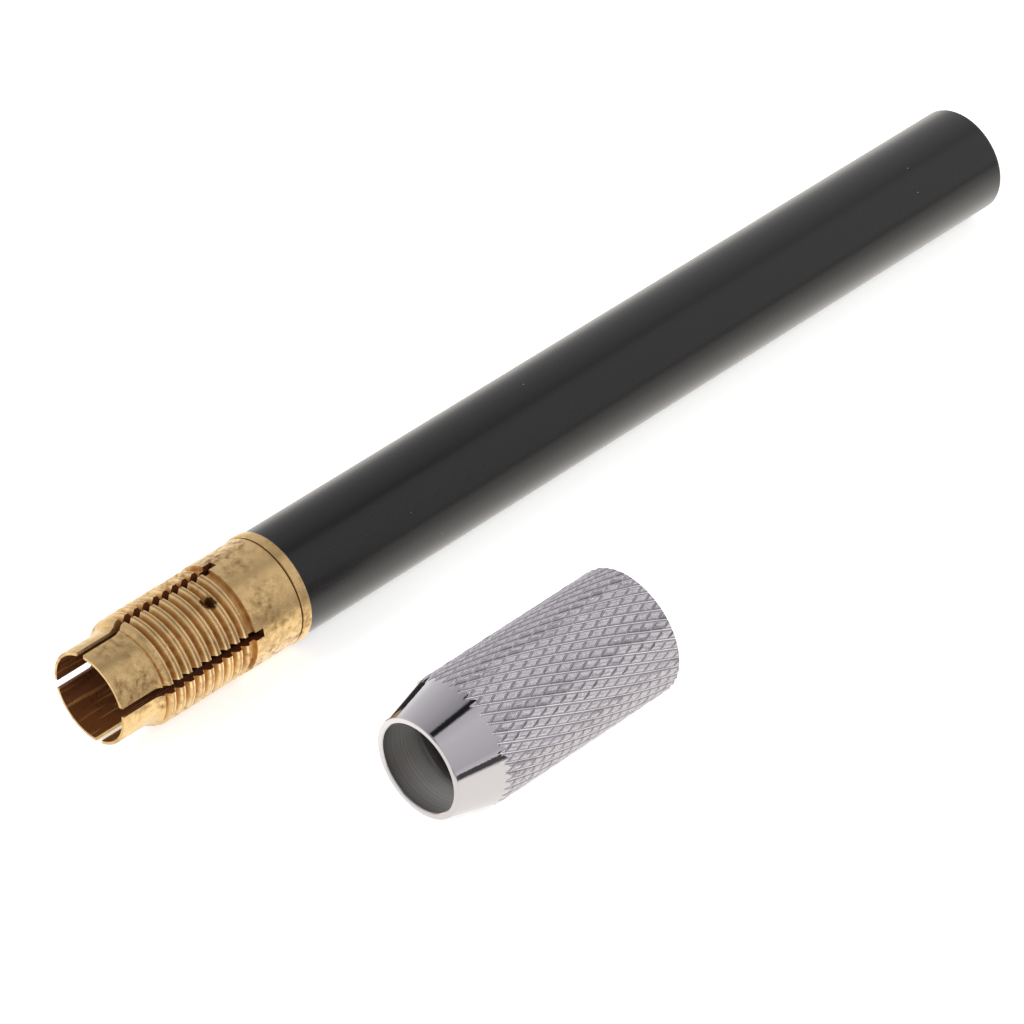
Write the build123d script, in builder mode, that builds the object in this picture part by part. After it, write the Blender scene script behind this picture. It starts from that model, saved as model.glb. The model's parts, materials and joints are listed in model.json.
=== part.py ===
from build123d import *
import math
import os

# Pencil extender: a black barrel, a split brass collet fixed in its front end, and the knurled nut
# that closes the collet, lying beside the barrel with its nose to the same side.
# Millimetres. The origin is on the barrel's axis at the collet's mouth, +X runs back along the
# barrel, and +Z is up. Barrel and nut lie on one level surface.

# Pencil
pencil_diameter = 8.0
pencil_depth = 19.0

# Barrel
barrel_diameter = 10.0
barrel_length = 87.2
barrel_edge = 0.4

# Collet, from its mouth to the barrel
tip_diameter = 8.6
tip_length = 3.45
tip_edge = 0.05
tip_corner = 0.15
flare_length = 1.35
threaded_length = 8.6
relief_length = 0.75
relief_depth = 0.35
relief_slope = 0.2
land_diameter = 10.1
scribe_width = 0.12
scribe_depth = 0.12
flange_diameter = 10.34
flange_length = 0.9
flange_edge = 0.06
bore_floor = 1.22

# Collet slots, which run through the thread and into the land
slot_count = 4
slot_width = 0.78
slot_overrun = 0.85
slot_turn = 77.5

# Collet stem, glued into the barrel
stem_diameter = 6.0
stem_length = 14.0
stem_edge = 0.5
glue_gap = 0.03
glue_pocket = 0.6

# Thread of the collet and the nut
thread_diameter = 10.0
thread_pitch = 1.06
thread_depth = 0.5
thread_root_flat = 0.1
thread_flank_angle = 30.0
thread_clearance = 0.07
thread_overrun = 0.07

# Nut, from its nose to its rear
nut_diameter = 11.8
nut_length = 24.4
nose_diameter = 9.36
nose_length = 4.8
nose_edge = 0.08
nose_bore_diameter = 8.2
nose_bore_length = 4.0
rear_edge = 0.12
rear_bore_length = 6.4
rear_bore_clearance = 0.08

# Where the nut lies: its nose behind the collet's mouth, and its side away from the flange
nut_set_back = 12.4
nut_gap = 14.7

# Radii and stations that follow from the sizes above
bore_radius = pencil_diameter / 2
barrel_radius = barrel_diameter / 2
tip_radius = tip_diameter / 2
thread_radius = thread_diameter / 2
root_radius = thread_radius - thread_depth
relief_radius = thread_radius - relief_depth
land_radius = land_diameter / 2
flange_radius = flange_diameter / 2
stem_radius = stem_diameter / 2
flank_slope = math.tan(math.radians(thread_flank_angle))

flare_end = tip_length + flare_length
thread_end = flare_end + threaded_length
land_start = thread_end + relief_length
slot_length = land_start + slot_overrun
flange_end = pencil_depth + bore_floor
flange_start = flange_end - flange_length
land_end = flange_start - scribe_width
stem_end = flange_end + stem_length
barrel_end = flange_end + barrel_length

nut_radius = nut_diameter / 2
nut_x = nut_set_back
nut_y = -(flange_radius + nut_gap + nut_radius)
nut_z = nut_radius - flange_radius
nut_axis = Axis((nut_x, nut_y, nut_z), (1, 0, 0))
nut_section = Plane(origin=(nut_x, nut_y, nut_z), x_dir=(1, 0, 0), z_dir=(0, -1, 0))


def groove_turn(bottom_radius, mouth_radius, bottom_flat):
    """One turn of a V-groove along X, its bottom at one radius and its open side at the other."""
    depth = mouth_radius - bottom_radius
    half_bottom = bottom_flat / 2
    half_mouth = half_bottom + abs(depth) * flank_slope
    with BuildPart() as turn:
        with BuildLine() as path:
            Helix(thread_pitch, thread_pitch, bottom_radius, direction=(1, 0, 0))
        start = path.line @ 0
        outwards = Vector(0, start.Y, start.Z)
        with BuildSketch(Plane(origin=start, x_dir=outwards, z_dir=path.line % 0)):
            with BuildLine():
                Polyline(
                    (0, -half_bottom),
                    (depth, -half_mouth),
                    (depth, half_mouth),
                    (0, half_bottom),
                    close=True,
                )
            make_face()
        sweep(path=path.line, is_frenet=True)
    return turn.part


# Barrel: a turned rod with a blind hole for the stem and a rounded rear edge
with BuildPart() as barrel:
    with BuildSketch(Plane.YZ.offset(flange_end)):
        Circle(barrel_radius)
    extrude(amount=barrel_length)
    with BuildSketch(Plane.YZ.offset(flange_end)):
        Circle(stem_radius + glue_gap)
    extrude(amount=stem_length + glue_pocket, mode=Mode.SUBTRACT)
    fillet(barrel.edges().filter_by(GeomType.CIRCLE).sort_by(Axis.X)[-1], barrel_edge)

# Collet body: the ring behind the slots, with land, scribed line, flange, blind bore and stem
with BuildPart() as collet_body:
    with BuildSketch(Plane.XZ):
        with BuildLine():
            Polyline(
                (slot_length, bore_radius),
                (slot_length, land_radius),
                (land_end, land_radius),
                (land_end, land_radius - scribe_depth),
                (flange_start, land_radius - scribe_depth),
                (flange_start, flange_radius - flange_edge),
                (flange_start + flange_edge, flange_radius),
                (flange_end, flange_radius),
                (flange_end, stem_radius),
                (stem_end - stem_edge, stem_radius),
                (stem_end, stem_radius - stem_edge),
                (stem_end, 0),
                (pencil_depth, 0),
                (pencil_depth, bore_radius),
                close=True,
            )
        make_face()
    revolve(axis=Axis.X)

# Jaws: tip cylinder, flare, threaded length, relief and land, cut into four by the slots
with BuildPart() as jaw_ring:
    with BuildSketch(Plane.XZ):
        with BuildLine():
            Polyline(
                (tip_length, tip_radius),
                (tip_edge, tip_radius),
                (0, tip_radius - tip_edge),
                (0, bore_radius),
                (slot_length, bore_radius),
                (slot_length, land_radius),
                (land_start, land_radius),
                (land_start, relief_radius),
                (thread_end + relief_slope, relief_radius),
                (thread_end, thread_radius),
                (flare_end, thread_radius),
            )
            Spline(
                (tip_length, tip_radius),
                (flare_end, thread_radius),
                tangents=[(1, 0), (1, 0)],
            )
        make_face()
    revolve(axis=Axis.X)

    along_first_slot = (0, math.cos(math.radians(slot_turn)), math.sin(math.radians(slot_turn)))
    with BuildSketch(Plane((0, 0, 0), x_dir=along_first_slot, z_dir=(1, 0, 0))):
        with PolarLocations(0, slot_count):
            Rectangle(flange_diameter, slot_width, align=(Align.MIN, Align.CENTER))
    extrude(amount=slot_length, mode=Mode.SUBTRACT)
    fillet(jaw_ring.edges().group_by(Axis.X)[0].filter_by(GeomType.LINE), tip_corner)

    # The thread starts in the flare and runs out in the relief; each turn begins in the first slot
    male_turn = groove_turn(root_radius, land_radius + thread_overrun, thread_root_flat)
    male_end = land_start - thread_pitch / 2
    male_turns = math.ceil((male_end - tip_length) / thread_pitch)
    for turn_number in range(1, male_turns + 1):
        turn_place = (male_end - turn_number * thread_pitch, 0, 0)
        with Locations(Location(turn_place, (slot_turn - 90, 0, 0))):
            add(male_turn, mode=Mode.SUBTRACT)


def turn_from_first_slot(jaw):
    """How far round the axis a jaw's centre lies from the first slot, in degrees."""
    centre = jaw.center()
    return (math.degrees(math.atan2(centre.Z, centre.Y)) - slot_turn) % 360


jaws = sorted(jaw_ring.solids(), key=turn_from_first_slot)

# Nut: nose face, cone and knurled cylinder outside; nose bore, shoulder, thread and rear bore inside
with BuildPart() as knurled_nut:
    minor_radius = root_radius + thread_clearance
    major_radius = thread_radius + thread_clearance
    nose_radius = nose_diameter / 2
    nose_bore_radius = nose_bore_diameter / 2
    rear_bore_radius = flange_radius + rear_bore_clearance
    shoulder_end = nose_bore_length + minor_radius - nose_bore_radius
    rear_bore_start = nut_length - rear_bore_length
    with BuildSketch(nut_section):
        with BuildLine():
            Polyline(
                (0, nose_bore_radius + nose_edge),
                (0, nose_radius - nose_edge),
                (nose_edge, nose_radius),
                (nose_length, nut_radius),
                (nut_length - rear_edge, nut_radius),
                (nut_length, nut_radius - rear_edge),
                (nut_length, rear_bore_radius),
                (rear_bore_start, rear_bore_radius),
                (rear_bore_start, minor_radius),
                (shoulder_end, minor_radius),
                (nose_bore_length, nose_bore_radius),
                (nose_edge, nose_bore_radius),
                close=True,
            )
        make_face()
    revolve(axis=nut_axis)

    # The nut's groove is as wide at its bottom as the collet's ridge is at its crest
    ridge_flat = thread_pitch - thread_root_flat - 2 * thread_depth * flank_slope
    female_turn = groove_turn(major_radius, minor_radius - thread_overrun, ridge_flat)
    female_end = rear_bore_start + thread_pitch / 2
    female_turns = math.floor((female_end - shoulder_end) / thread_pitch)
    for turn_number in range(1, female_turns + 1):
        with Locations((nut_x + female_end - turn_number * thread_pitch, nut_y, nut_z)):
            add(female_turn, mode=Mode.SUBTRACT)

os.makedirs("parts", exist_ok=True)

barrel.part.label = "barrel"
export_step(barrel.part, "parts/barrel.step")

collet_body.part.label = "collet_body"
export_step(collet_body.part, "parts/collet_body.step")

for jaw_number, jaw_solid in enumerate(jaws, start=1):
    with BuildPart() as jaw:
        add(jaw_solid)
    jaw.part.label = f"collet_jaw_{jaw_number}"
    export_step(jaw.part, f"parts/collet_jaw_{jaw_number}.step")

knurled_nut.part.label = "knurled_nut"
export_step(knurled_nut.part, "parts/knurled_nut.step")
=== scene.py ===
import bpy
import bmesh
import json
import math
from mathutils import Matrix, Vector

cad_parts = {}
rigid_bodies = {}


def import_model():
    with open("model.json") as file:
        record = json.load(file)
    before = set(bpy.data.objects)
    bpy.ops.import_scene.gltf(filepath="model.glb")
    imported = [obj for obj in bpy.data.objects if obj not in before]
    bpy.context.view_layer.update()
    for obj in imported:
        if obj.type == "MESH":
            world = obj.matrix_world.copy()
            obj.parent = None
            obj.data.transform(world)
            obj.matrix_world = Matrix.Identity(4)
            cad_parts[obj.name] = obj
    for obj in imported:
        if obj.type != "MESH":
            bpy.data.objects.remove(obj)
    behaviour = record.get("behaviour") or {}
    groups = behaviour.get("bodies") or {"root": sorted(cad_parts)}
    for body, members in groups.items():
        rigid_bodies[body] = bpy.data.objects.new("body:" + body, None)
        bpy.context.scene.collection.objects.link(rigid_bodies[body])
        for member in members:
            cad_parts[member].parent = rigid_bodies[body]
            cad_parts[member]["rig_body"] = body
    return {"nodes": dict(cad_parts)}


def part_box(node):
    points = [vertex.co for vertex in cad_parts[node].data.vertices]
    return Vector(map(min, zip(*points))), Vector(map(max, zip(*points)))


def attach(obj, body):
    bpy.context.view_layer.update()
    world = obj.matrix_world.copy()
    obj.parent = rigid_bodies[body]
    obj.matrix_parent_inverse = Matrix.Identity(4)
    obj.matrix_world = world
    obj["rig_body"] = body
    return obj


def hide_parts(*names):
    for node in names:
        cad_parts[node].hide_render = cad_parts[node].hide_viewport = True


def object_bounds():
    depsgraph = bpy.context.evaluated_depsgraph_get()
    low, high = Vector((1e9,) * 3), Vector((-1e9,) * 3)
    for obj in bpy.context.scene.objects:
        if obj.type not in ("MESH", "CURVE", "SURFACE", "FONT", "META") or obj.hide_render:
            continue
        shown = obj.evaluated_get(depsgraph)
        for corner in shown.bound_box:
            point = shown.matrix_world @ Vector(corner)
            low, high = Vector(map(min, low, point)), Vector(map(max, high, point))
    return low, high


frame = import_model()
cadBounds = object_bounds()
mm = 0.001
samePlace = 0.002 * mm  # points closer than this become one
onPlane = 0.01 * mm  # what lies this near to a flat end counts as on it
print("frame loaded:", len(frame["nodes"]), "nodes")

# Places that every piece is worked out from, in metres
barrelLow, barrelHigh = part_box("barrel")
nutLow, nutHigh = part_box("knurled_nut")
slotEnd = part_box("collet_jaw_1")[1].x
floorHeight = cadBounds[0].z
barrelRadius = (barrelHigh.z - barrelLow.z) / 2
nutRadius = (nutHigh.z - nutLow.z) / 2
nutLength = nutHigh.x - nutLow.x
nutCentre = Vector((nutLow.x, (nutLow.y + nutHigh.y) / 2, (nutLow.z + nutHigh.z) / 2))


def selectOnly(piece):
    if bpy.context.object and bpy.context.object.mode != "OBJECT":
        bpy.ops.object.mode_set(mode="OBJECT")
    bpy.ops.object.select_all(action="DESELECT")
    piece.select_set(True)
    bpy.context.view_layer.objects.active = piece


def startEditing(piece, kind="VERT"):
    selectOnly(piece)
    bpy.ops.object.mode_set(mode="EDIT")
    bpy.ops.mesh.select_mode(type=kind)
    bpy.ops.mesh.select_all(action="DESELECT")


def pickParts(piece, kind, test):
    # selects the verts, edges or faces whose middle passes the test, in edit mode
    mesh = bmesh.from_edit_mesh(piece.data)
    for part in getattr(mesh, kind):
        if kind == "verts":
            middle = part.co
        else:
            middle = sum((v.co for v in part.verts), Vector()) / len(part.verts)
        part.select_set(bool(test(middle)))
    mesh.select_flush_mode()
    bmesh.update_edit_mesh(piece.data)


def fillHoles():
    bpy.ops.mesh.select_all(action="DESELECT")
    bpy.ops.mesh.select_non_manifold()
    bpy.ops.mesh.edge_face_add()


def finishEditing():
    bpy.ops.mesh.select_all(action="SELECT")
    bpy.ops.mesh.normals_make_consistent(inside=False)
    bpy.ops.object.mode_set(mode="OBJECT")


def applyModifier(piece, kind, **settings):
    selectOnly(piece)
    modifier = piece.modifiers.new(kind.lower(), kind)
    for name, value in settings.items():
        setattr(modifier, name, value)
    bpy.ops.object.modifier_apply(modifier=modifier.name)


def smoothShading(piece, degrees):
    selectOnly(piece)
    bpy.ops.object.shade_smooth_by_angle(angle=math.radians(degrees))


def fromNutAxis(point):
    return math.hypot(point.y - nutCentre.y, point.z - nutCentre.z)


def turnOnLathe(name, stations, centre, segments):
    # a ring drawn from station to station along X, each station an (x, radius) in mm
    bpy.ops.object.select_all(action="DESELECT")
    x, radius = stations[0]
    bpy.ops.mesh.primitive_circle_add(
        vertices=segments,
        radius=radius * mm,
        location=centre + Vector((x * mm, 0, 0)),
        rotation=(0, math.pi / 2, 0),
    )
    piece = bpy.context.object
    piece.name = name
    bpy.ops.object.transform_apply(location=True, rotation=True, scale=True)
    startEditing(piece)
    bpy.ops.mesh.select_all(action="SELECT")
    for nextX, nextRadius in stations[1:]:
        bpy.ops.mesh.extrude_region_move(TRANSFORM_OT_translate={"value": ((nextX - x) * mm, 0, 0)})
        scale = nextRadius / radius
        bpy.ops.transform.resize(value=(1, scale, scale), center_override=centre)
        x, radius = nextX, nextRadius
    bpy.ops.mesh.select_all(action="SELECT")
    bpy.ops.mesh.remove_doubles(threshold=samePlace)
    return piece


def cadCopy(nodeName, pieceName):
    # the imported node's mesh under a new name, with its loose triangles merged
    bpy.ops.object.select_all(action="DESELECT")
    node = frame["nodes"][nodeName]
    piece = bpy.data.objects.new(pieceName, node.data.copy())
    piece.data.materials.clear()
    bpy.context.scene.collection.objects.link(piece)
    startEditing(piece)
    bpy.ops.mesh.select_all(action="SELECT")
    bpy.ops.mesh.remove_doubles(threshold=samePlace)
    bpy.ops.mesh.customdata_custom_splitnormals_clear()
    bpy.ops.object.mode_set(mode="OBJECT")
    return piece


def hexColour(code):
    # an sRGB hex value as linear colour
    channels = [int(code[i : i + 2], 16) / 255 for i in (1, 3, 5)]
    linear = [c / 12.92 if c <= 0.04045 else ((c + 0.055) / 1.055) ** 2.4 for c in channels]
    return (*linear, 1.0)


def addNode(tree, kind, inputs=None, stops=None, **settings):
    node = tree.nodes.new("ShaderNode" + kind)
    for name, value in settings.items():
        setattr(node, name, value)
    for key, value in (inputs or {}).items():
        if isinstance(value, bpy.types.Node):
            value = value.outputs[0]
        if isinstance(value, bpy.types.NodeSocket):
            tree.links.new(value, node.inputs[key])
        else:
            node.inputs[key].default_value = value
    if stops:
        points = node.color_ramp.elements
        while len(points) < len(stops):
            points.new(0.5)
        for point, (place, colour) in zip(points, stops):
            point.position = place
            point.color = hexColour(colour)
    return node


def newMaterial(name):
    material = bpy.data.materials.new(name)
    material.use_nodes = True
    tree = material.node_tree
    tree.nodes.clear()
    return material, tree


cameraSet = {
    "place": (-224.70, -273.60, 305.28),  # mm from the collet's mouth
    "downTilt": 39.03,  # degrees below level
    "heading": 45.0,  # degrees from +X towards +Y
    "lens": 200.4,
    "sensor": 36.0,
    "nearest": 0.01,  # m
    "farthest": 10.0,
}

cameraData = bpy.data.cameras.new("camera")
cameraData.lens = cameraSet["lens"]
cameraData.sensor_width = cameraSet["sensor"]
cameraData.clip_start = cameraSet["nearest"]
cameraData.clip_end = cameraSet["farthest"]
camera = bpy.data.objects.new("camera", cameraData)
camera.location = Vector(cameraSet["place"]) * mm
camera.rotation_euler = (
    math.radians(90 - cameraSet["downTilt"]),
    0,
    math.radians(cameraSet["heading"] - 90),
)
bpy.context.scene.collection.objects.link(camera)
bpy.context.scene.camera = camera
bpy.context.scene.view_settings.view_transform = "Standard"
print("camera placed")


stageSet = {
    "floorSize": 4.0,  # m
    "floorSquares": 8,  # faces along each side of the floor
    "floorColour": "#F0F0EF",
    "floorRoughness": 0.9,
    "floorGloss": 0.2,
    "seenLift": 0.4,  # light added to what the camera sees of the floor
    "glowReach": 0.1,  # m to either side of the barrel over which the mirrored floor changes
    "glow": 1.75,  # brightness of white in the mirrored floor
    "glowTint": "#FFFBF5",
    "plainLight": 0.55,  # what the surroundings give to matt surfaces
    "mirrorLight": 1.4,  # brightness of white in the surroundings that glossy surfaces mirror
    "opening": {"From Min": 0.5, "From Max": 0.66, "To Max": 0.6},  # they get lighter towards +X
}

# How bright the floor looks in glossy surfaces, across the barrel from right to left: dark past
# the edge of the paper, even beside the nut, brighter beside the barrel and in shade right under it
glowStops = [
    (0.0, "#3C3A3C"),
    (0.12, "#3C3A3C"),
    (0.2, "#C6C6C6"),
    (0.4, "#C8C8C8"),
    (0.44, "#ECECEC"),
    (0.472, "#F8F8F8"),
    (0.488, "#DADADA"),
    (0.5, "#CACACA"),
    (0.53, "#E0E0E0"),
    (0.6, "#EAEAEA"),
    (1.0, "#E4E4E4"),
]

# Surroundings from the left horizon over the top to the right horizon: a large soft light on each
# side, with a narrow dark gap between them overhead
skyStops = [
    (0.0, "#DBDADB"),
    (0.1, "#BCBABC"),
    (0.25, "#A6A4A6"),
    (0.35, "#9A979A"),
    (0.47, "#827F82"),
    (0.487, "#1C1B1C"),
    (0.532, "#1C1B1C"),
    (0.55, "#A9A6A9"),
    (0.65, "#B5B1B5"),
    (0.95, "#A5A1A5"),
    (1.0, "#BAB6BA"),
]

bpy.ops.object.select_all(action="DESELECT")
bpy.ops.mesh.primitive_grid_add(
    x_subdivisions=stageSet["floorSquares"],
    y_subdivisions=stageSet["floorSquares"],
    size=stageSet["floorSize"],
    location=(0, 0, floorHeight),
)
floor = bpy.context.object
floor.name = "studio_floor"
floorMaterial, tree = newMaterial("white_studio_paper")
path = addNode(tree, "LightPath")
seen = addNode(
    tree,
    "Math",
    {0: path.outputs["Is Camera Ray"], 1: path.outputs["Is Transmission Ray"]},
    operation="MAXIMUM",
)
seenLift = addNode(tree, "Math", {0: seen, 1: stageSet["seenLift"]}, operation="MULTIPLY")
paper = addNode(
    tree,
    "BsdfPrincipled",
    {
        "Base Color": hexColour(stageSet["floorColour"]),
        "Roughness": stageSet["floorRoughness"],
        "Specular IOR Level": stageSet["floorGloss"],
        "Emission Color": (1, 1, 1, 1),
        "Emission Strength": seenLift,
    },
)
floorPlace = addNode(tree, "SeparateXYZ", {0: addNode(tree, "TexCoord").outputs["Object"]})
across = addNode(
    tree,
    "MapRange",
    {
        "Value": floorPlace.outputs["Y"],
        "From Min": -stageSet["glowReach"],
        "From Max": stageSet["glowReach"],
    },
)
glow = addNode(tree, "ValToRGB", {0: across}, stops=glowStops)
glow = addNode(
    tree,
    "MixRGB",
    {0: 1.0, 1: glow, 2: hexColour(stageSet["glowTint"])},
    blend_type="MULTIPLY",
)
mirrored = addNode(tree, "Emission", {"Color": glow, "Strength": stageSet["glow"]})
surface = addNode(tree, "MixShader", {0: path.outputs["Is Glossy Ray"], 1: paper, 2: mirrored})
addNode(tree, "OutputMaterial", {"Surface": surface})
floor.data.materials.append(floorMaterial)

world = bpy.data.worlds.new("studio_world")
bpy.context.scene.world = world
world.use_nodes = True
tree = world.node_tree
tree.nodes.clear()
path = addNode(tree, "LightPath")
direction = addNode(tree, "SeparateXYZ", {0: addNode(tree, "TexCoord").outputs["Generated"]})
turn = addNode(
    tree,
    "Math",
    {0: direction.outputs["Z"], 1: direction.outputs["Y"]},
    operation="ARCTAN2",
)
share = addNode(tree, "Math", {0: turn, 1: math.pi}, operation="DIVIDE")
arch = addNode(tree, "ValToRGB", {0: share}, stops=skyStops)
opening = addNode(tree, "MapRange", {"Value": direction.outputs["X"], **stageSet["opening"]})
white = 1 / stageSet["mirrorLight"]
mirrored = addNode(tree, "MixRGB", {0: opening, 1: arch, 2: (white, white, white, 1)})
mirror = addNode(tree, "Background", {"Color": mirrored, "Strength": stageSet["mirrorLight"]})
plain = addNode(tree, "Background", {"Color": (1, 1, 1, 1), "Strength": stageSet["plainLight"]})
behind = addNode(tree, "Background", {"Color": (1, 1, 1, 1), "Strength": 1.0})
lit = addNode(tree, "MixShader", {0: path.outputs["Is Glossy Ray"], 1: plain, 2: mirror})
sky = addNode(tree, "MixShader", {0: path.outputs["Is Camera Ray"], 1: lit, 2: behind})
addNode(tree, "OutputWorld", {"Surface": sky})

lamps = {  # places and sizes in mm, power in watts
    "softbox_left": {"place": (-500, 300, 600), "size": 500, "power": 6.0},
    "softbox_right": {"place": (300, -600, 500), "size": 500, "power": 5.0},
}
for name, lamp in lamps.items():
    data = bpy.data.lights.new(name, "AREA")
    data.shape = "SQUARE"
    data.size = lamp["size"] * mm
    data.energy = lamp["power"]
    box = bpy.data.objects.new(name, data)
    box.location = Vector(lamp["place"]) * mm
    box.rotation_euler = (-box.location).to_track_quat("-Z", "Y").to_euler()
    # the surroundings already hold what glossy surfaces mirror of the soft lights
    box.visible_glossy = False
    bpy.context.scene.collection.objects.link(box)
print("stage and lamps set")


nutSet = {
    # the knurl
    "starts": 40,  # knurl lines of each hand round the nut
    "lineAngle": 22.5,  # degrees from the axis
    "knurlDepth": 0.17,  # mm, as all lengths here
    "steepWall": 0.2,  # share of the spacing that each wall takes, in the lines with narrow dark walls
    "gentleWall": 0.44,  # the same in the lines of the other hand, whose bottoms show bright
    "topRounding": 0.03,
    "topScatter": 0.012,  # how far the tops differ, from wear of the rolls
    "spareRows": 2,  # pairs of rings that stand past the ends of the nut
    # the blank, its x counted from the nose's face
    "segments": 320,
    "noseFace": 4.68,
    "noseEdge": 0.08,
    "coneLength": 4.8,
    "coneLoop": 3.9,  # a loop round the cone just in front of the knurl's teeth
    "rearEdge": 0.12,
    # the hollow
    "boreLimits": (4.3, 5.27),  # what lies further out than this isn't the bore's, in front and behind
    "boreLimitChange": 3.5,
    "hollowOverrun": 1.0,  # how far the hollow stands out of both ends
    "smoothAngle": 24,
}


def knurlSleeve():
    # one diamond is cut, then copied round and along, and closed into a rod longer than the nut
    crest = nutRadius
    valley = nutRadius - nutSet["knurlDepth"] * mm
    halfTurn = math.pi / nutSet["starts"]
    halfWidth = valley * math.sin(halfTurn)
    halfLength = nutRadius * halfTurn / math.tan(math.radians(nutSet["lineAngle"]))
    outline = 0.95  # what lies further out than this share of the diamond is on its outline
    bpy.ops.object.select_all(action="DESELECT")
    bpy.ops.mesh.primitive_plane_add(size=1, location=(0, 0, 0))
    cell = bpy.context.object
    cell.name = "knurl_diamond"
    startEditing(cell, "FACE")
    bpy.ops.mesh.select_all(action="SELECT")
    # the square's sides are the two families of lines until it is turned and drawn out to a diamond
    bpy.ops.mesh.inset(thickness=nutSet["steepWall"])
    narrowing = (1 - 2 * nutSet["gentleWall"]) / (1 - 2 * nutSet["steepWall"])
    bpy.ops.transform.resize(value=(narrowing, 1, 1), center_override=(0, 0, 0))
    bpy.ops.mesh.select_mode(type="VERT")
    bpy.ops.mesh.select_all(action="SELECT")
    bpy.ops.transform.rotate(value=math.radians(-45), orient_axis="Z", center_override=(0, 0, 0))
    half = math.sqrt(0.5)  # from the turned square's middle to its corners
    bpy.ops.transform.resize(value=(halfLength / half, halfWidth / half, 1), center_override=(0, 0, 0))
    bpy.ops.transform.translate(value=(0, 0, valley))
    # the two side corners come down onto the round, and the inner face goes up to the top
    pickParts(cell, "verts", lambda p: abs(p.y) > outline * halfWidth)
    bpy.ops.transform.translate(value=(0, 0, valley * (math.cos(halfTurn) - 1)))
    pickParts(cell, "verts", lambda p: abs(p.x) / halfLength + abs(p.y) / halfWidth < outline)
    bpy.ops.transform.translate(value=(0, 0, crest - valley))
    bpy.ops.mesh.select_mode(type="EDGE")
    nearTop = crest - 0.2 * (crest - valley)
    pickParts(cell, "edges", lambda p: p.z > nearTop)
    bpy.ops.mesh.bevel(offset=nutSet["topRounding"] * mm, segments=1, affect="EDGES")
    bpy.ops.object.mode_set(mode="OBJECT")

    # ring of diamonds, its staggered neighbour, and then pairs of rings along the nut
    rows = math.ceil(nutLength / halfLength / 2) + nutSet["spareRows"]
    for helperName, turn, shift, count in (
        ("turn_helper", 2 * halfTurn, 0, nutSet["starts"]),
        ("stagger_helper", halfTurn, halfLength, 2),
        ("row_helper", 0, 2 * halfLength, rows),
    ):
        helper = bpy.data.objects.new(helperName, None)
        helper.rotation_euler = (turn, 0, 0)
        helper.location = (shift, 0, 0)
        bpy.context.scene.collection.objects.link(helper)
        bpy.context.view_layer.update()
        applyModifier(
            cell,
            "ARRAY",
            count=count,
            use_relative_offset=False,
            use_object_offset=True,
            offset_object=helper,
            use_merge_vertices=True,
            merge_threshold=samePlace,
        )
        bpy.data.objects.remove(helper)
    startEditing(cell)
    bpy.ops.mesh.select_all(action="SELECT")
    bpy.ops.mesh.remove_doubles(threshold=samePlace)
    bpy.ops.transform.translate(value=nutCentre - Vector((2 * halfLength, 0, 0)))
    pickParts(cell, "verts", lambda p: fromNutAxis(p) > (crest + valley) / 2)
    bpy.ops.transform.vertex_random(offset=nutSet["topScatter"] * mm, uniform=1, normal=0, seed=3)
    fillHoles()
    finishEditing()
    return cell


def nutBlank():
    radius = nutRadius / mm
    length = nutLength / mm
    nose, noseEdge, rearEdge = nutSet["noseFace"], nutSet["noseEdge"], nutSet["rearEdge"]
    cone, loop = nutSet["coneLength"], nutSet["coneLoop"]
    stations = [
        (0, nose - noseEdge),
        (noseEdge, nose),
        (loop, nose + (radius - nose) * (loop - noseEdge) / (cone - noseEdge)),
        (cone, radius),
        (length - rearEdge, radius),
        (length, radius - rearEdge),
    ]
    blank = turnOnLathe("nut_grip", stations, nutCentre, nutSet["segments"])
    fillHoles()
    finishEditing()
    return blank


def nutHollow():
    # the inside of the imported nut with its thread, closed a little way past both ends
    hollow = cadCopy("knurled_nut", "nut_hollow")
    nearLimit, farLimit = (limit * mm for limit in nutSet["boreLimits"])
    change = nutLow.x + nutSet["boreLimitChange"] * mm
    overrun = nutSet["hollowOverrun"] * mm
    startEditing(hollow, "FACE")
    pickParts(
        hollow,
        "faces",
        lambda p: fromNutAxis(p) > (nearLimit if p.x < change else farLimit)
        or p.x > nutHigh.x - onPlane
        or p.x < nutLow.x + onPlane,
    )
    bpy.ops.mesh.delete(type="FACE")
    bpy.ops.mesh.select_mode(type="EDGE")
    for end, step in ((nutLow.x, -overrun), (nutHigh.x, overrun)):
        pickParts(hollow, "edges", lambda p: abs(p.x - end) < onPlane)
        bpy.ops.mesh.extrude_region_move(TRANSFORM_OT_translate={"value": (step, 0, 0)})
        bpy.ops.mesh.edge_face_add()
    finishEditing()
    return hollow


nut = nutBlank()
knurl = knurlSleeve()
applyModifier(nut, "BOOLEAN", object=knurl, operation="INTERSECT", solver="EXACT")
hollow = nutHollow()
applyModifier(nut, "BOOLEAN", object=hollow, operation="DIFFERENCE", solver="EXACT")
bpy.data.objects.remove(knurl)
bpy.data.objects.remove(hollow)
smoothShading(nut, nutSet["smoothAngle"])
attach(nut, "nut")
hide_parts("knurled_nut")
print("nut knurled:", len(nut.data.polygons), "faces")


barrelSet = {  # mm
    "segments": 256,
    "rearEdge": 0.4,
    "rearSteps": 6,
    "holeRadius": 3.03,
    "holeDepth": 14.6,
    "endInset": 1.2,  # width of the ring of faces along the rim of each flat end
    "smoothAngle": 30,
}


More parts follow.
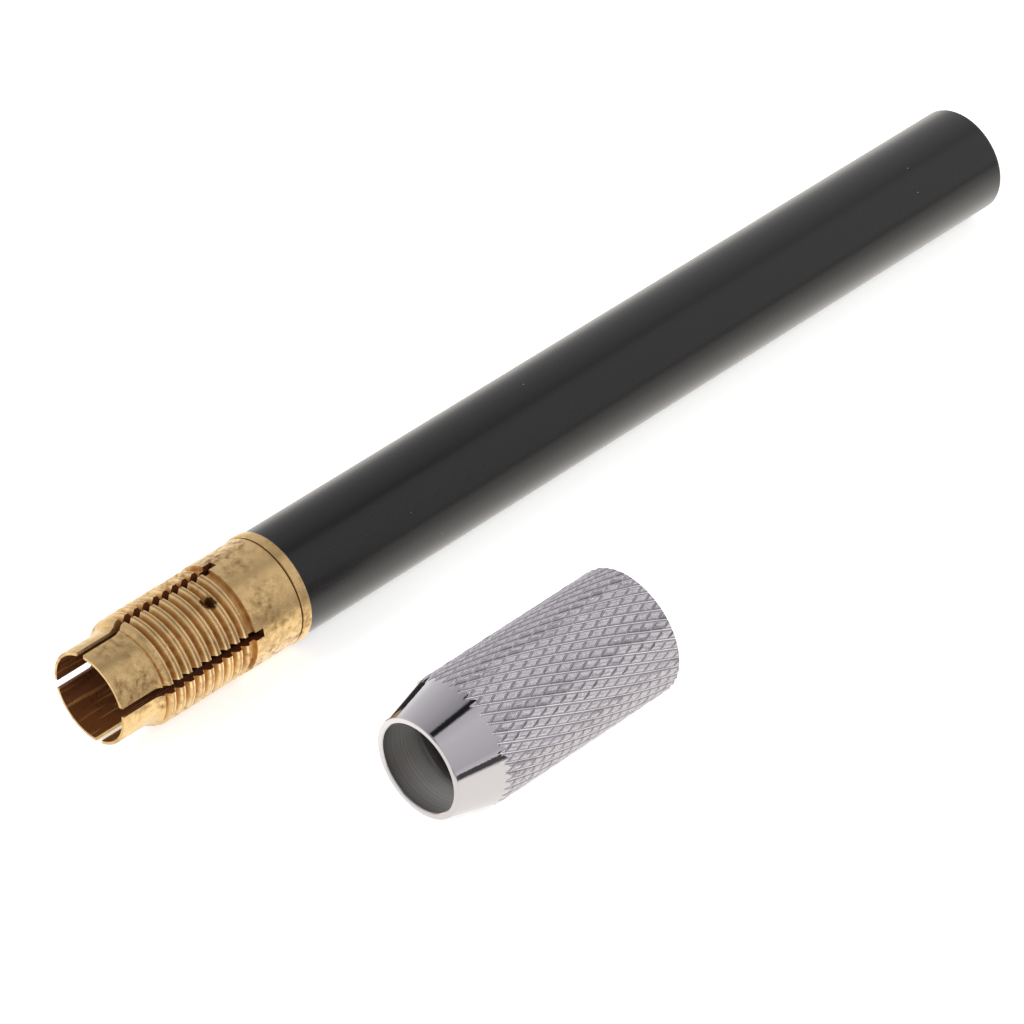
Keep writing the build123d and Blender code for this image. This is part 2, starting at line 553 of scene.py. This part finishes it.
def turnBarrel():
    # the rod with its blind hole, the ring drawn from the hole's floor round the outside to the rear
    length = (barrelHigh.x - barrelLow.x) / mm
    radius = barrelRadius / mm
    edge = barrelSet["rearEdge"]
    stations = [
        (barrelSet["holeDepth"], barrelSet["holeRadius"]),
        (0, barrelSet["holeRadius"]),
        (0, radius),
    ]
    for step in range(barrelSet["rearSteps"] + 1):
        turn = math.radians(90 * step / barrelSet["rearSteps"])
        stations.append((length - edge + edge * math.sin(turn), radius - edge + edge * math.cos(turn)))
    rod = turnOnLathe("barrel_rod", stations, Vector((barrelLow.x, 0, 0)), barrelSet["segments"])
    for end in (barrelHigh.x, barrelLow.x + barrelSet["holeDepth"] * mm):
        bpy.ops.mesh.select_mode(type="EDGE")
        pickParts(rod, "edges", lambda p: abs(p.x - end) < samePlace)
        bpy.ops.mesh.edge_face_add()
        bpy.ops.mesh.inset(thickness=barrelSet["endInset"] * mm)
        bpy.ops.mesh.poke()
    finishEditing()
    smoothShading(rod, barrelSet["smoothAngle"])
    return rod


barrel = turnBarrel()
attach(barrel, "barrel")
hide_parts("barrel")
print("barrel turned:", len(barrel.data.polygons), "faces")


colletSet = {  # angles in degrees
    "edgeBreak": 0.03,  # mm
    "flatAngle": 0.6,  # faces that meet at less than this are joined to one
    "sharpAngle": 32,  # edges sharper than this are broken
    "smoothAngle": 28,
}


def breakEdges(piece):
    # breaks the sharp edges, but not where a jaw runs on into the body behind the slots
    startEditing(piece, "EDGE")
    bpy.ops.mesh.select_all(action="SELECT")
    bpy.ops.mesh.dissolve_limited(angle_limit=math.radians(colletSet["flatAngle"]))
    bpy.ops.mesh.normals_make_consistent(inside=False)
    bpy.ops.mesh.select_all(action="DESELECT")
    bpy.ops.mesh.edges_select_sharp(sharpness=math.radians(colletSet["sharpAngle"]))
    mesh = bmesh.from_edit_mesh(piece.data)
    for edge in mesh.edges:
        if all(abs(vert.co.x - slotEnd) < onPlane for vert in edge.verts):
            edge.select_set(False)
    bmesh.update_edit_mesh(piece.data)
    bpy.ops.mesh.bevel(
        offset=colletSet["edgeBreak"] * mm,
        segments=1,
        affect="EDGES",
        clamp_overlap=True,
    )
    bpy.ops.object.mode_set(mode="OBJECT")
    smoothShading(piece, colletSet["smoothAngle"])


colletNodes = [name for name in frame["nodes"] if name.startswith("collet_")]
collet = {}
for nodeName in sorted(colletNodes):
    piece = cadCopy(nodeName, nodeName.replace("collet_", "brass_"))
    breakEdges(piece)
    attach(piece, frame["nodes"][nodeName]["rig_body"])
    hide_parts(nodeName)
    collet[nodeName] = piece
print("collet pieces finished:", len(collet))


# Nickel-chrome plate over turned and knurled steel: a bright mirror on the cone, a satin nose face,
# turning rings in the bore with painted shade deep inside it, and tool marks, flecks, painted shade on
# the knurl's walls and a painted highlight along its pressed bottoms that give the knurl its grey sparkle
plateSet = {
    "polished": "#DAD8DB",
    "knurled": "#C6C2C7",
    "fleck": "#F2F0F4",
    "shadeAndDirt": "#504B51",
    "bore": "#F8F6F5",
    "boreRing": "#D6D3D0",
    "boreDark": "#3A3631",
    # places in mm, x counted from the nose's face
    "noseBoreRadius": 4.2,  # further out than the nose's bore
    "rearBoreRadius": 5.4,  # further out than the thread and the rear bore
    "shoulder": (3.9, 3.95),  # where the first limit changes to the second
    "boreFrom": 0.1,
    "knurlFrom": 2.0,  # no knurl in front of this
    "cut": 0.012,  # how far below the cone a surface counts as cut by the knurl
    # pattern sizes in mm
    "fleckSize": 0.15,
    "grainSize": 0.16,
    "markSpacing": 0.05,
    "ringSpacing": 0.09,
    "reliefHeight": 0.01,
    # where each thing begins, where it is full, and how much of it there is
    "brightFlecks": {"From Min": 0.54, "From Max": 0.66, "To Max": 0.6},
    "dullFlecks": {"From Min": 0.46, "From Max": 0.34, "To Max": 0.4},
    # painted highlight: the pressed bottoms of the lines are painted bright
    "litBottoms": {"From Min": 5.75 * mm, "From Max": 5.735 * mm},  # radii of the lines' pressed bottoms
    # painted shade: the knurl's walls are painted darker towards their bottoms
    "shadedWalls": {"From Min": 5.82 * mm, "From Max": 5.77 * mm, "To Max": 0.65},  # the walls' lower half
    "ringed": {"From Min": 0.4, "From Max": 0.62},
    # painted shade at the shoulder and in the thread behind it
    "boreDarkening": {"From Min": 3.4 * mm, "From Max": 4.6 * mm, "To Max": 0.6},
    "rimmed": {"From Min": 2.4 * mm, "From Max": 0.1 * mm, "To Max": 0.75},
    "relief": {"To Min": 0.22, "To Max": 0.5},  # outside, and in the knurl and the bore
    "metallic": {"To Min": 1.0, "To Max": 0.75},
    "faceRoughness": {"From Min": 0.09 * mm, "From Max": 0.2 * mm, "To Min": 0.2, "To Max": 0.03},
    "knurlRoughness": 0.18,
    "boreRoughness": 0.33,
    "fleckRoughness": 0.06,
}

steel, tree = newMaterial("nickel_chrome_plated_steel")
point = addNode(tree, "TexCoord").outputs["Object"]
local = addNode(tree, "VectorMath", {0: point, 1: nutCentre}, operation="SUBTRACT")
along = addNode(tree, "SeparateXYZ", {0: local}).outputs["X"]
section = addNode(tree, "VectorMath", {0: local, 1: (0, 1, 1)}, operation="MULTIPLY")
radius = addNode(tree, "VectorMath", {0: section}, operation="LENGTH").outputs["Value"]

# where the bore is: nearer to the axis than a limit that steps out at the shoulder
boreLimit = addNode(
    tree,
    "MapRange",
    {
        "Value": along,
        "From Min": plateSet["shoulder"][0] * mm,
        "From Max": plateSet["shoulder"][1] * mm,
        "To Min": plateSet["noseBoreRadius"] * mm,
        "To Max": plateSet["rearBoreRadius"] * mm,
    },
)
inBore = addNode(tree, "Math", {0: radius, 1: boreLimit}, operation="LESS_THAN")
behindFace = addNode(tree, "Math", {0: along, 1: plateSet["boreFrom"] * mm}, operation="GREATER_THAN")
inBore = addNode(tree, "Math", {0: inBore, 1: behindFace}, operation="MULTIPLY")

# where the knurl is: all that lies behind the cone, and what the knurl's teeth cut out of the cone
cone = addNode(
    tree,
    "MapRange",
    {
        "Value": along,
        "From Min": nutSet["noseEdge"] * mm,
        "From Max": nutSet["coneLength"] * mm,
        "To Min": nutSet["noseFace"] * mm,
        "To Max": nutRadius,
    },
)
cutLimit = addNode(tree, "Math", {0: cone, 1: plateSet["cut"] * mm}, operation="SUBTRACT")
inCut = addNode(tree, "Math", {0: radius, 1: cutLimit}, operation="LESS_THAN")
behindCone = addNode(tree, "Math", {0: along, 1: nutSet["coneLength"] * mm}, operation="GREATER_THAN")
inKnurl = addNode(tree, "Math", {0: inCut, 1: behindCone}, operation="MAXIMUM")
pastNose = addNode(tree, "Math", {0: along, 1: plateSet["knurlFrom"] * mm}, operation="GREATER_THAN")
inKnurl = addNode(tree, "Math", {0: inKnurl, 1: pastNose}, operation="MULTIPLY")
dulled = addNode(tree, "Math", {0: inKnurl, 1: inBore}, operation="MAXIMUM")

# the knurl's colour: bright flecks and a painted highlight along the pressed bottoms, then painted
# shade on the walls and dull flecks
flecks = addNode(
    tree,
    "TexNoise",
    {"Vector": local, "Scale": 1 / (plateSet["fleckSize"] * mm), "Detail": 4, "Roughness": 0.7},
)
bright = addNode(tree, "MapRange", {"Value": flecks, **plateSet["brightFlecks"]})
dull = addNode(tree, "MapRange", {"Value": flecks, **plateSet["dullFlecks"]})
# painted highlight along the lines' pressed bottoms
litBottoms = addNode(tree, "MapRange", {"Value": radius, **plateSet["litBottoms"]})
bright = addNode(tree, "Math", {0: bright, 1: litBottoms}, operation="MAXIMUM")
knurled = addNode(
    tree,
    "MixRGB",
    {0: bright, 1: hexColour(plateSet["knurled"]), 2: hexColour(plateSet["fleck"])},
)
# painted shade on the walls' lower half, joined with the dull flecks
shadeAndDirt = addNode(tree, "MapRange", {"Value": radius, **plateSet["shadedWalls"]})
clear = addNode(tree, "Math", {0: 1.0, 1: litBottoms}, operation="SUBTRACT")
shadeAndDirt = addNode(tree, "Math", {0: shadeAndDirt, 1: clear}, operation="MULTIPLY")
shadeAndDirt = addNode(tree, "Math", {0: shadeAndDirt, 1: dull}, operation="MAXIMUM")
knurled = addNode(tree, "MixRGB", {0: shadeAndDirt, 1: knurled, 2: hexColour(plateSet["shadeAndDirt"])})
colour = addNode(tree, "MixRGB", {0: inKnurl, 1: hexColour(plateSet["polished"]), 2: knurled})

# the bore's colour: turning rings, with painted shade at the shoulder and in the thread behind it,
# and darker just inside the rim
ringPlace = addNode(tree, "Math", {0: along, 1: radius}, operation="ADD")
rings = addNode(
    tree,
    "TexNoise",
    {"W": ringPlace, "Scale": 1 / (plateSet["ringSpacing"] * mm), "Detail": 3},
    noise_dimensions="1D",
)
ringed = addNode(tree, "MapRange", {"Value": rings, **plateSet["ringed"]})
bore = addNode(
    tree,
    "MixRGB",
    {0: ringed, 1: hexColour(plateSet["boreRing"]), 2: hexColour(plateSet["bore"])},
)
# painted shade at the shoulder and in the thread behind it, and darker just inside the rim
boreDarkening = addNode(tree, "MapRange", {"Value": along, **plateSet["boreDarkening"]})
rimmed = addNode(tree, "MapRange", {"Value": along, **plateSet["rimmed"]})
boreDarkening = addNode(tree, "Math", {0: boreDarkening, 1: rimmed}, operation="MAXIMUM")
bore = addNode(tree, "MixRGB", {0: boreDarkening, 1: bore, 2: hexColour(plateSet["boreDark"])})
colour = addNode(tree, "MixRGB", {0: inBore, 1: colour, 2: bore})

# relief: tool marks in the knurl, turning rings in the bore and a faint grain elsewhere
marks = addNode(
    tree,
    "TexNoise",
    {"W": along, "Scale": 1 / (plateSet["markSpacing"] * mm), "Detail": 2},
    noise_dimensions="1D",
)
grain = addNode(
    tree,
    "TexNoise",
    {"Vector": local, "Scale": 1 / (plateSet["grainSize"] * mm), "Detail": 2},
)
plate = addNode(tree, "MixRGB", {0: inBore, 1: grain, 2: rings})
relief = addNode(tree, "MixRGB", {0: inKnurl, 1: plate, 2: marks})
reliefStrength = addNode(tree, "MapRange", {"Value": dulled, **plateSet["relief"]})
bump = addNode(
    tree,
    "Bump",
    {"Strength": reliefStrength, "Distance": plateSet["reliefHeight"] * mm, "Height": relief},
)

# gloss: satin on the nose's face, a mirror on the cone, duller in the knurl and the bore
faced = addNode(tree, "MapRange", {"Value": along, **plateSet["faceRoughness"]})
rough = addNode(tree, "MapRange", {"Value": inKnurl, "To Min": faced, "To Max": plateSet["knurlRoughness"]})
rough = addNode(tree, "MapRange", {"Value": inBore, "To Min": rough, "To Max": plateSet["boreRoughness"]})
rough = addNode(
    tree,
    "Math",
    {0: flecks, 1: plateSet["fleckRoughness"], 2: rough},
    operation="MULTIPLY_ADD",
)
metallic = addNode(tree, "MapRange", {"Value": dulled, **plateSet["metallic"]})
shader = addNode(
    tree,
    "BsdfPrincipled",
    {"Base Color": colour, "Metallic": metallic, "Roughness": rough, "Normal": bump},
)
addNode(tree, "OutputMaterial", {"Surface": shader})


# Black lacquer over a turned wooden rod: deep and smooth, with a slight orange peel, faint scuffs
# along the rod and a few dust specks, so that its long highlight isn't a perfect line
lacquerSet = {
    "black": "#0F0E0E",
    "dust": "#6A6766",
    # pattern sizes in mm
    "peelSize": 0.9,
    "peelHeight": 0.004,
    "peelStrength": 0.25,  # share of that height which shows
    "scuffWidth": 0.3,
    "scuffStretch": 0.04,  # a scuff is 25 times as long as wide
    "dustSpacing": 2.6,
    "dustSize": 0.025,  # share of the spacing
    "scuffed": {"From Min": 0.56, "From Max": 0.7},
    "roughness": {"To Min": 0.25, "To Max": 0.3},  # clean, and in a scuff
    "dustRoughness": 0.3,
}

lacquer, tree = newMaterial("black_lacquered_wood")
point = addNode(tree, "TexCoord").outputs["Object"]
peel = addNode(tree, "TexNoise", {"Vector": point, "Scale": 1 / (lacquerSet["peelSize"] * mm), "Detail": 2})
stretched = addNode(
    tree,
    "VectorMath",
    {0: point, 1: (lacquerSet["scuffStretch"], 1, 1)},
    operation="MULTIPLY",
)
scuffs = addNode(
    tree,
    "TexNoise",
    {"Vector": stretched, "Scale": 1 / (lacquerSet["scuffWidth"] * mm), "Detail": 5},
)
scuffed = addNode(tree, "MapRange", {"Value": scuffs, **lacquerSet["scuffed"]})
specks = addNode(
    tree,
    "TexVoronoi",
    {"Vector": point, "Scale": 1 / (lacquerSet["dustSpacing"] * mm), "Randomness": 1.0},
)
dusty = addNode(
    tree,
    "Math",
    {0: specks.outputs["Distance"], 1: lacquerSet["dustSize"]},
    operation="LESS_THAN",
)
colour = addNode(
    tree,
    "MixRGB",
    {0: dusty, 1: hexColour(lacquerSet["black"]), 2: hexColour(lacquerSet["dust"])},
)
rough = addNode(tree, "MapRange", {"Value": scuffed, **lacquerSet["roughness"]})
rough = addNode(
    tree,
    "Math",
    {0: dusty, 1: lacquerSet["dustRoughness"], 2: rough},
    operation="MULTIPLY_ADD",
)
bump = addNode(
    tree,
    "Bump",
    {"Strength": lacquerSet["peelStrength"], "Distance": lacquerSet["peelHeight"] * mm, "Height": peel},
)
shader = addNode(
    tree,
    "BsdfPrincipled",
    {"Base Color": colour, "Roughness": rough, "Normal": bump},
)
addNode(tree, "OutputMaterial", {"Surface": shader})


# Bare turned brass, lightly tarnished: clean tan on the land and the tip with mottled brown clouds,
# brown in the thread and the relief that is partly tarnish and partly painted shade, painted highlights
# on the thread's crest corners, slot walls painted dark brown as shade and a bore painted dark as shade
# with lighter streaks
brassSet = {
    "clean": "#D9B982",
    "tarnished": "#7C5630",
    "groove": "#B98346",
    "crestMiddle": "#9A6630",
    # painted highlight on the crests' corners
    "crestEdge": "#F6E0B0",
    "blemished": "#4A2A12",
    # painted shade: the slot walls and the bore are painted dark
    "slot": "#6A3A20",
    "bore": "#7A4A28",
    "boreStreak": "#C49258",
    # places in mm, x counted from the collet's mouth
    "tipEnd": 3.45,
    "flareEnd": 4.8,
    "threadEnd": 13.4,
    "landStart": 14.1,
    "scribeFrom": 19.0,
    "tipRadius": 4.3,
    "threadRadius": 5.0,
    "landStep": 0.05,  # the land stands out this far past the thread
    "scribeRadius": 5.01,  # the scribed line lies nearer to the axis than this
    "boreRadius": 4.004,
    "slotTurn": 77.5,  # degrees about the axis, from +Y towards +Z
    "slotWall": 0.4,  # a little more than half a slot's width
    "slotEndOverrun": 0.005,
    "pitch": 1.06,
    "crest": (13.23, 135),  # x of a crest's middle, and the turn about the axis at which it lies there
    "crestHalf": 0.18,
    "blemish": (11.6, -2.03, 4.57),
    # pattern sizes in mm
    "mottleSize": 0.7,
    "cloudSize": 3.5,
    "streakWidth": 0.35,
    "streakStretch": 0.05,  # a streak is 20 times as long as wide
    "ringSpacing": 0.08,
    "ringHeight": 0.01,
    "ringStrength": 0.3,  # share of that height which shows
    "blemishFray": 1.1,
    # where each thing begins, where it is full, and how much of it there is
    "mottled": {"From Min": 0.42, "From Max": 0.68},
    "clouded": {"From Min": 0.42, "From Max": 0.62, "To Min": 0.25},
    "inGroove": {"From Min": 0.1 * mm, "From Max": 0.32 * mm},  # depth below the thread's outline
    # the thread's grooves: partly tarnish, partly painted shade
    "grooveShadeAndTarnish": {"From Min": 0.3, "From Max": 0.65, "To Min": 0.3, "To Max": 0.9},
    # painted highlight on the crests' corners, stronger on the upper side
    "litCorners": {"From Min": 0.07, "From Max": 0.03, "To Max": 0.75},  # shares of a pitch from the corner
    "litSide": {"From Min": 75 / 360, "From Max": 115 / 360, "To Min": 0.25},  # turns from +Y
    "crestBrown": {"From Min": 0.13, "From Max": 0.07, "To Max": 0.55},  # from the crest's middle
    "blemishing": {"From Min": 1.3 * mm, "From Max": 1.1 * mm},  # distance from its middle, frayed
    "streaked": {"From Min": 0.54, "From Max": 0.72},
    # how strong the painted shade on the upper and the lowest slot's walls is along the jaw
    "slotDirt": {"From Min": 4.2 * mm, "From Max": 5.2 * mm, "To Min": 0.2},
    "roughness": {"To Min": 0.27, "To Max": 0.5},  # clean, and tarnished or dirty
    "metallic": {"To Min": 0.8, "To Max": 0.5},  # outside, and in the slots and the bore
}

brass, tree = newMaterial("tarnished_turned_brass")
point = addNode(tree, "TexCoord").outputs["Object"]
sides = addNode(tree, "SeparateXYZ", {0: point})
along = sides.outputs["X"]
section = addNode(tree, "VectorMath", {0: point, 1: (0, 1, 1)}, operation="MULTIPLY")
radius = addNode(tree, "VectorMath", {0: section}, operation="LENGTH").outputs["Value"]

# how deep a point lies below the outline of tip, flare, thread and land
outline = addNode(
    tree,
    "MapRange",
    {
        "Value": along,
        "From Min": brassSet["tipEnd"] * mm,
        "From Max": brassSet["flareEnd"] * mm,
        "To Min": brassSet["tipRadius"] * mm,
        "To Max": brassSet["threadRadius"] * mm,
    },
    interpolation_type="SMOOTHSTEP",
)
onLand = addNode(tree, "Math", {0: along, 1: brassSet["landStart"] * mm}, operation="GREATER_THAN")
outline = addNode(
    tree,
    "Math",
    {0: onLand, 1: brassSet["landStep"] * mm, 2: outline},
    operation="MULTIPLY_ADD",
)
depth = addNode(tree, "Math", {0: outline, 1: radius}, operation="SUBTRACT")
inGroove = addNode(tree, "MapRange", {"Value": depth, **brassSet["inGroove"]})
pastTip = addNode(tree, "Math", {0: along, 1: brassSet["tipEnd"] * mm}, operation="GREATER_THAN")
inGroove = addNode(tree, "Math", {0: inGroove, 1: pastTip}, operation="MULTIPLY")

# the slots' walls are painted dark as shade; on the upper and the lowest slot that painted shade is
# faint along the tip
slotDirt = addNode(tree, "MapRange", {"Value": along, **brassSet["slotDirt"]})
slotWalls = []
for turn, darkness in ((brassSet["slotTurn"], slotDirt), (brassSet["slotTurn"] + 90, 1.0)):
    normal = (0, -math.sin(math.radians(turn)), math.cos(math.radians(turn)))
    side = addNode(tree, "VectorMath", {0: point, 1: normal}, operation="DOT_PRODUCT").outputs["Value"]
    side = addNode(tree, "Math", {0: side}, operation="ABSOLUTE")
    wall = addNode(tree, "Math", {0: side, 1: brassSet["slotWall"] * mm}, operation="LESS_THAN")
    slotWalls.append(addNode(tree, "Math", {0: wall, 1: darkness}, operation="MULTIPLY"))
inSlot = addNode(tree, "Math", {0: slotWalls[0], 1: slotWalls[1]}, operation="MAXIMUM")
jawEnd = slotEnd + brassSet["slotEndOverrun"] * mm
onJaw = addNode(tree, "Math", {0: along, 1: jawEnd}, operation="LESS_THAN")
inSlot = addNode(tree, "Math", {0: inSlot, 1: onJaw}, operation="MULTIPLY")
inBore = addNode(tree, "Math", {0: radius, 1: brassSet["boreRadius"] * mm}, operation="LESS_THAN")

# tarnish: small mottles, strongest inside large clouds
mottle = addNode(
    tree,
    "TexNoise",
    {"Vector": point, "Scale": 1 / (brassSet["mottleSize"] * mm), "Detail": 6, "Roughness": 0.65},
)
cloud = addNode(tree, "TexNoise", {"Vector": point, "Scale": 1 / (brassSet["cloudSize"] * mm), "Detail": 3})
mottled = addNode(tree, "MapRange", {"Value": mottle, **brassSet["mottled"]})
clouded = addNode(tree, "MapRange", {"Value": cloud, **brassSet["clouded"]})
tarnish = addNode(tree, "Math", {0: mottled, 1: clouded}, operation="MULTIPLY")
colour = addNode(
    tree,
    "MixRGB",
    {0: tarnish, 1: hexColour(brassSet["clean"]), 2: hexColour(brassSet["tarnished"])},
)
# darker brown in the grooves, partly tarnish and partly painted shade
shadeAndDirt = addNode(tree, "MapRange", {"Value": mottle, **brassSet["grooveShadeAndTarnish"]})
shadeAndDirt = addNode(tree, "Math", {0: shadeAndDirt, 1: inGroove}, operation="MULTIPLY")
colour = addNode(tree, "MixRGB", {0: shadeAndDirt, 1: colour, 2: hexColour(brassSet["groove"])})

# place across one turn of the thread, 0.5 at the middle of its crest
pitch = brassSet["pitch"]
crestX, crestTurn = brassSet["crest"]
turned = addNode(tree, "Math", {0: sides.outputs["Z"], 1: sides.outputs["Y"]}, operation="ARCTAN2")
turned = addNode(tree, "Math", {0: turned, 1: 2 * math.pi}, operation="DIVIDE")
threadPlace = addNode(
    tree,
    "Math",
    {0: along, 1: 1 / (pitch * mm), 2: crestTurn / 360 - crestX / pitch + 0.5},
    operation="MULTIPLY_ADD",
)
threadPlace = addNode(tree, "Math", {0: threadPlace, 1: turned}, operation="SUBTRACT")
threadPlace = addNode(tree, "Math", {0: threadPlace}, operation="FRACT")
fromCrest = addNode(tree, "Math", {0: threadPlace, 1: 0.5}, operation="SUBTRACT")
fromCrest = addNode(tree, "Math", {0: fromCrest}, operation="ABSOLUTE")
fromCorner = addNode(tree, "Math", {0: fromCrest, 1: brassSet["crestHalf"] / pitch}, operation="SUBTRACT")
fromCorner = addNode(tree, "Math", {0: fromCorner}, operation="ABSOLUTE")
onThread = addNode(tree, "Math", {0: along, 1: brassSet["flareEnd"] * mm}, operation="GREATER_THAN")
inFront = addNode(tree, "Math", {0: along, 1: brassSet["threadEnd"] * mm}, operation="LESS_THAN")
onThread = addNode(tree, "Math", {0: onThread, 1: inFront}, operation="MULTIPLY")

# the crests are brown along their middle
brown = addNode(tree, "MapRange", {"Value": fromCrest, **brassSet["crestBrown"]})
brown = addNode(tree, "Math", {0: brown, 1: onThread}, operation="MULTIPLY")
colour = addNode(tree, "MixRGB", {0: brown, 1: colour, 2: hexColour(brassSet["crestMiddle"])})

# the scribed line in front of the flange is filled with tarnish
scribed = addNode(tree, "Math", {0: radius, 1: brassSet["scribeRadius"] * mm}, operation="LESS_THAN")
nearFlange = addNode(tree, "Math", {0: along, 1: brassSet["scribeFrom"] * mm}, operation="GREATER_THAN")
scribed = addNode(tree, "Math", {0: scribed, 1: nearFlange}, operation="MULTIPLY")
colour = addNode(tree, "MixRGB", {0: scribed, 1: colour, 2: hexColour(brassSet["tarnished"])})

# both corners of the crests are painted bright as a highlight, most on the upper side towards the nut
litCorners = addNode(tree, "MapRange", {"Value": fromCorner, **brassSet["litCorners"]})
litSide = addNode(tree, "MapRange", {"Value": turned, **brassSet["litSide"]})
litCorners = addNode(tree, "Math", {0: litCorners, 1: litSide}, operation="MULTIPLY")
litCorners = addNode(tree, "Math", {0: litCorners, 1: onThread}, operation="MULTIPLY")
colour = addNode(tree, "MixRGB", {0: litCorners, 1: colour, 2: hexColour(brassSet["crestEdge"])})

# one dark blemish with a frayed edge on the thread
toBlemish = addNode(
    tree,
    "VectorMath",
    {0: point, 1: Vector(brassSet["blemish"]) * mm},
    operation="DISTANCE",
).outputs["Value"]
frayed = addNode(
    tree,
    "Math",
    {0: mottle, 1: brassSet["blemishFray"] * mm, 2: toBlemish},
    operation="MULTIPLY_ADD",
)
blemish = addNode(tree, "MapRange", {"Value": frayed, **brassSet["blemishing"]})
colour = addNode(tree, "MixRGB", {0: blemish, 1: colour, 2: hexColour(brassSet["blemished"])})

# the bore is painted dark as shade, with lighter streaks along it, and the slots' walls are painted
# darker still as shade
stretched = addNode(
    tree,
    "VectorMath",
    {0: point, 1: (brassSet["streakStretch"], 1, 1)},
    operation="MULTIPLY",
)
streaks = addNode(
    tree,
    "TexNoise",
    {"Vector": stretched, "Scale": 1 / (brassSet["streakWidth"] * mm), "Detail": 4},
)
streaked = addNode(tree, "MapRange", {"Value": streaks, **brassSet["streaked"]})
bore = addNode(
    tree,
    "MixRGB",
    {0: streaked, 1: hexColour(brassSet["bore"]), 2: hexColour(brassSet["boreStreak"])},
)
colour = addNode(tree, "MixRGB", {0: inBore, 1: colour, 2: bore})
colour = addNode(tree, "MixRGB", {0: inSlot, 1: colour, 2: hexColour(brassSet["slot"])})

# relief: fine turning rings
rings = addNode(
    tree,
    "TexNoise",
    {"W": along, "Scale": 1 / (brassSet["ringSpacing"] * mm), "Detail": 3},
    noise_dimensions="1D",
)
bump = addNode(
    tree,
    "Bump",
    {"Strength": brassSet["ringStrength"], "Distance": brassSet["ringHeight"] * mm, "Height": rings},
)

# gloss: duller where tarnished and where the grooves hold tarnish and painted shade, and less metallic
# in the slots and the bore
dull = addNode(tree, "Math", {0: tarnish, 1: shadeAndDirt}, operation="MAXIMUM")
rough = addNode(tree, "MapRange", {"Value": dull, **brassSet["roughness"]})
shaded = addNode(tree, "Math", {0: inSlot, 1: inBore}, operation="MAXIMUM")
metallic = addNode(tree, "MapRange", {"Value": shaded, **brassSet["metallic"]})
shader = addNode(
    tree,
    "BsdfPrincipled",
    {"Base Color": colour, "Metallic": metallic, "Roughness": rough, "Normal": bump},
)
addNode(tree, "OutputMaterial", {"Surface": shader})

for piece, material in [(nut, steel), (barrel, lacquer)] + [(p, brass) for p in collet.values()]:
    piece.data.materials.clear()
    piece.data.materials.append(material)
print("materials on")
